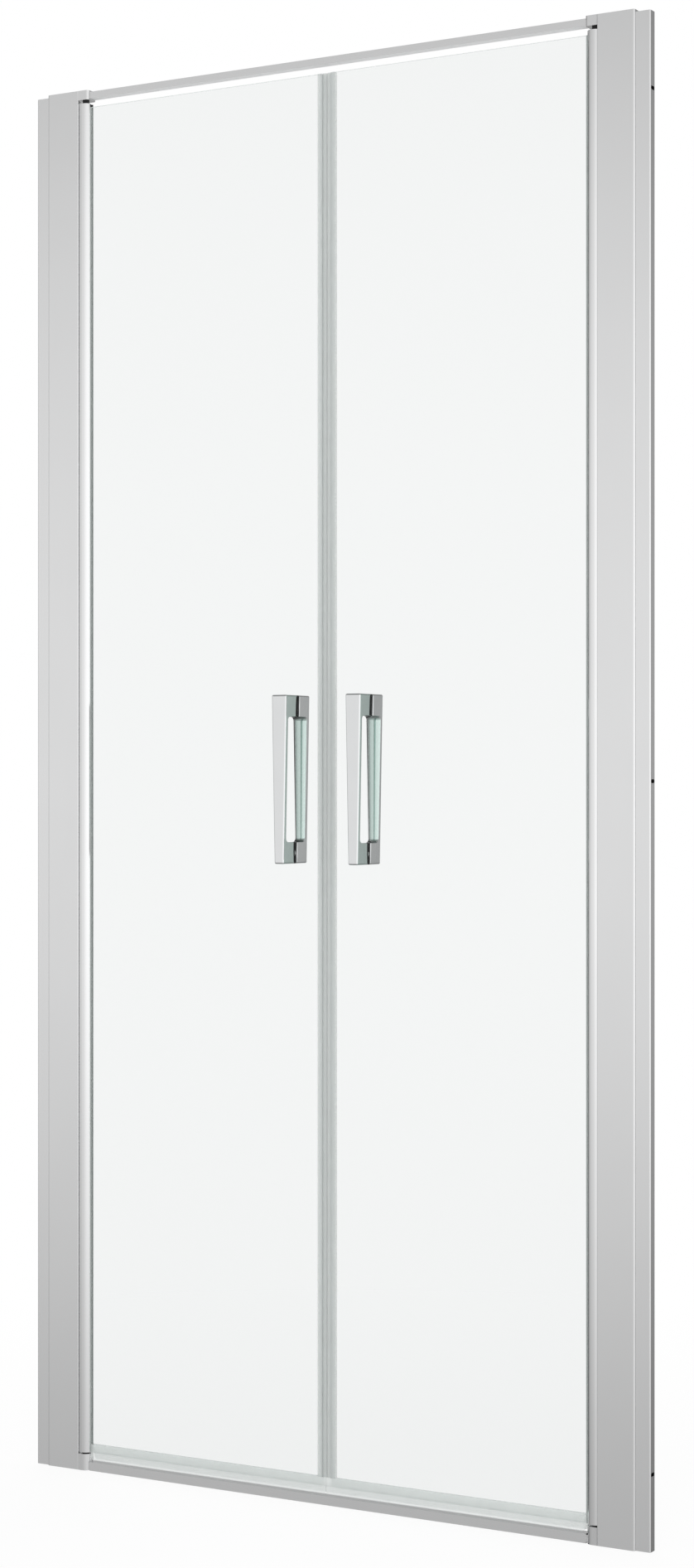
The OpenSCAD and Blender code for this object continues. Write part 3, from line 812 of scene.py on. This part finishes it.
def handle_body(x, way):
    """The tapered block of a handle half, with its outline and its front rounded."""
    body = add_box(
        (x - HANDLE_W[1], way * HANDLE_PAD, HANDLE_Z[0]),
        (x + HANDLE_W[1], way * HANDLE_FRONT, HANDLE_Z[1]),
    )
    taper(body, x, HANDLE_W[0] / HANDLE_W[1])

    def on_outline(a, b):
        front = min(abs(a.y), abs(b.y)) > HANDLE_FRONT - PLAY
        return front or abs(a.y - b.y) > 1.0

    round_edges(body, HANDLE_ROUND, HANDLE_STEPS, on_outline)
    return body


def round_grip(body, x):
    """Rounds the two long edges at the back of the grip bar."""
    def at_back(a, b):
        beside = all(abs(point.x - x) > handle_width(point.z) - SIDE_PLAY for point in (a, b))
        behind = HANDLE_FRONT - max(abs(a.y), abs(b.y)) > GRIP_BEHIND
        return beside and behind and abs(a.z - b.z) > GRIP_EDGE_LONG

    round_edges(body, GRIP_EDGE, ROUND_STEPS, at_back, GRIP_EDGE_PROFILE)


def drill_grub_holes(body, x):
    """Two upright holes that open downwards into the window and at the lower end."""
    for top in GRUB_TOPS:
        hole = add_rod(x, GRUB_Y, top - GRUB_LENGTH, top, GRUB_R, GRUB_R, GRUB_SIDES)
        combine(body, "DIFFERENCE", hole)


def build_handle(node, side, way):
    """A handle half: tapered, with a round outline, a window and a grip bar with a round back."""
    x = side * HANDLE_X
    piece = handle_body(x, way)
    combine(piece, "DIFFERENCE", window_tool(x, way))
    round_grip(piece, x)
    if way > 0:
        drill_grub_holes(piece, x)
    piece.name = f"{node}_finished"
    select_only(piece)
    bpy.ops.object.shade_smooth_by_angle(angle=SMOOTH_ANGLE)
    apply_modifier(
        piece, "BEVEL", width=RIM_ROUND * MM, segments=RIM_STEPS, limit_method="ANGLE",
        angle_limit=RIM_ANGLE, use_clamp_overlap=False,
    )
    apply_modifier(piece, "WEIGHTED_NORMAL", weight=FLATNESS, keep_sharp=True)
    stand_for(piece, node)


def build_handles():
    for name, side in zip(SIDES, (-1, 1)):
        build_handle(f"{name}_outer_handle", side, -1)
        build_handle(f"{name}_inner_handle", side, 1)


# Studio

def seen_straight(tree, path):
    """1 for what the camera sees directly or through clear pieces only."""
    through = calculate(tree, "MAXIMUM", path["Is Camera Ray"], path["Is Transmission Ray"])
    bounced = calculate(tree, "ADD", path["Glossy Depth"], path["Diffuse Depth"])
    clean = calculate(tree, "LESS_THAN", bounced, 0.5)
    return calculate(tree, "MULTIPLY", through, clean)


def mirrored(tree, path):
    """1 for what a shiny surface reflects, also where the reflection passes clear pieces."""
    return calculate(tree, "MAXIMUM", path["Is Glossy Ray"], path["Is Transmission Ray"])


def floor_material():
    """Pale matt grey that ends in white away from the door, so that no line shows."""
    grey = (FLOOR_GREY, FLOOR_GREY, FLOOR_GREY, 1.0)
    values = {"Base Color": grey, "Roughness": FLOOR_ROUGH}
    material, tree, shader, output = new_material("pale_floor", **values)
    white = add_node(tree, "ShaderNodeEmission", {"Color": (1, 1, 1, 1), "Strength": 1.0})
    path = add_node(tree, "ShaderNodeLightPath").outputs
    far = add_node(tree, "ShaderNodeVectorMath", {0: object_place(tree)}, operation="LENGTH")
    fade = add_node(
        tree, "ShaderNodeMapRange", {"Value": far.outputs["Value"], **FLOOR_FADE}
    ).outputs["Result"]
    share = calculate(tree, "MULTIPLY", seen_straight(tree, path), fade)
    near = mix_shaders(tree, share, shader.outputs["BSDF"], white.outputs["Emission"])
    # Reflections that have passed the glass go through the floor as the direct ones do
    clear = add_node(tree, "ShaderNodeBsdfTransparent").outputs["BSDF"]
    surface = mix_shaders(tree, path["Glossy Depth"], near, clear)
    tree.links.new(surface, output.inputs["Surface"])
    return material


def build_floor():
    """The floor: it shows, and isn't reflected."""
    bpy.ops.object.select_all(action="DESELECT")
    bpy.ops.mesh.primitive_plane_add(size=FLOOR_SIZE, location=(0, 0, 0))
    floor = bpy.context.object
    floor.name = "studio_floor"
    floor.data.materials.append(floor_material())
    floor.visible_glossy = False


def studio_greys(tree):
    """The studio's brightness in reflections, by height times by heading."""
    way = add_node(tree, "ShaderNodeTexCoord").outputs["Generated"]
    split = add_node(tree, "ShaderNodeSeparateXYZ", {0: way}).outputs
    height = add_node(tree, "ShaderNodeMapRange", {"Value": split["Z"], "From Min": -1.0})
    flat = add_node(tree, "ShaderNodeCombineXYZ", {"X": split["X"], "Y": split["Y"]})
    heading = add_node(
        tree, "ShaderNodeTexGradient", {"Vector": flat.outputs["Vector"]}, gradient_type="RADIAL"
    )
    by_height = ramp(tree, height.outputs["Result"], STUDIO_HEIGHT)
    by_heading = ramp(tree, heading.outputs["Fac"], STUDIO_ROUND)
    return mix_colours(tree, 1.0, by_height, by_heading, "MULTIPLY")


def backdrop(tree, colour, strength):
    """One light of the world all round."""
    return add_node(
        tree, "ShaderNodeBackground", {"Color": colour, "Strength": strength}
    ).outputs["Background"]


def build_world():
    """White behind the door; in reflections a soft studio, brightest to the right at eye height."""
    world = bpy.data.worlds.new("studio")
    bpy.context.scene.world = world
    world.use_nodes = True
    tree = world.node_tree
    tree.nodes.clear()
    output = tree.nodes.new("ShaderNodeOutputWorld")
    fill = backdrop(tree, (1, 1, 1, 1), FILL_LEVEL)
    mirror = backdrop(tree, studio_greys(tree), STUDIO_LEVEL)
    white = backdrop(tree, (1, 1, 1, 1), 1.0)
    path = add_node(tree, "ShaderNodeLightPath").outputs
    bounced = mix_shaders(tree, mirrored(tree, path), fill, mirror)
    surface = mix_shaders(tree, seen_straight(tree, path), bounced, white)
    tree.links.new(surface, output.inputs["Surface"])


def add_softbox(name, place, power):
    """A soft square lamp that lights the door and doesn't show."""
    bpy.ops.object.light_add(type="AREA", location=place)
    lamp = bpy.context.object
    lamp.name = name
    lamp.data.shape = "RECTANGLE"
    lamp.data.size = SOFTBOX_SIZE
    lamp.data.size_y = SOFTBOX_SIZE
    lamp.data.energy = power
    aim = Vector(SOFTBOX_TARGET) - Vector(place)
    lamp.rotation_euler = aim.to_track_quat("-Z", "Y").to_euler()
    lamp.visible_camera = False
    lamp.visible_glossy = False
    lamp.visible_transmission = False


def build_camera():
    """The photograph's view."""
    level = math.radians(90)
    bpy.ops.object.camera_add(location=CAMERA_PLACE, rotation=(level, 0, CAMERA_TURN))
    camera = bpy.context.object
    camera.name = "photo_camera"
    camera.data.sensor_width = CAMERA_SENSOR
    camera.data.sensor_fit = "AUTO"
    camera.data.lens = CAMERA_LENS
    camera.data.clip_end = CAMERA_REACH
    bpy.context.scene.camera = camera


paint_nodes()
finish_nodes()
build_handles()
build_floor()
build_world()
for softbox in SOFTBOXES:
    add_softbox(*softbox)
build_camera()
bpy.context.scene.view_settings.view_transform = "Standard"
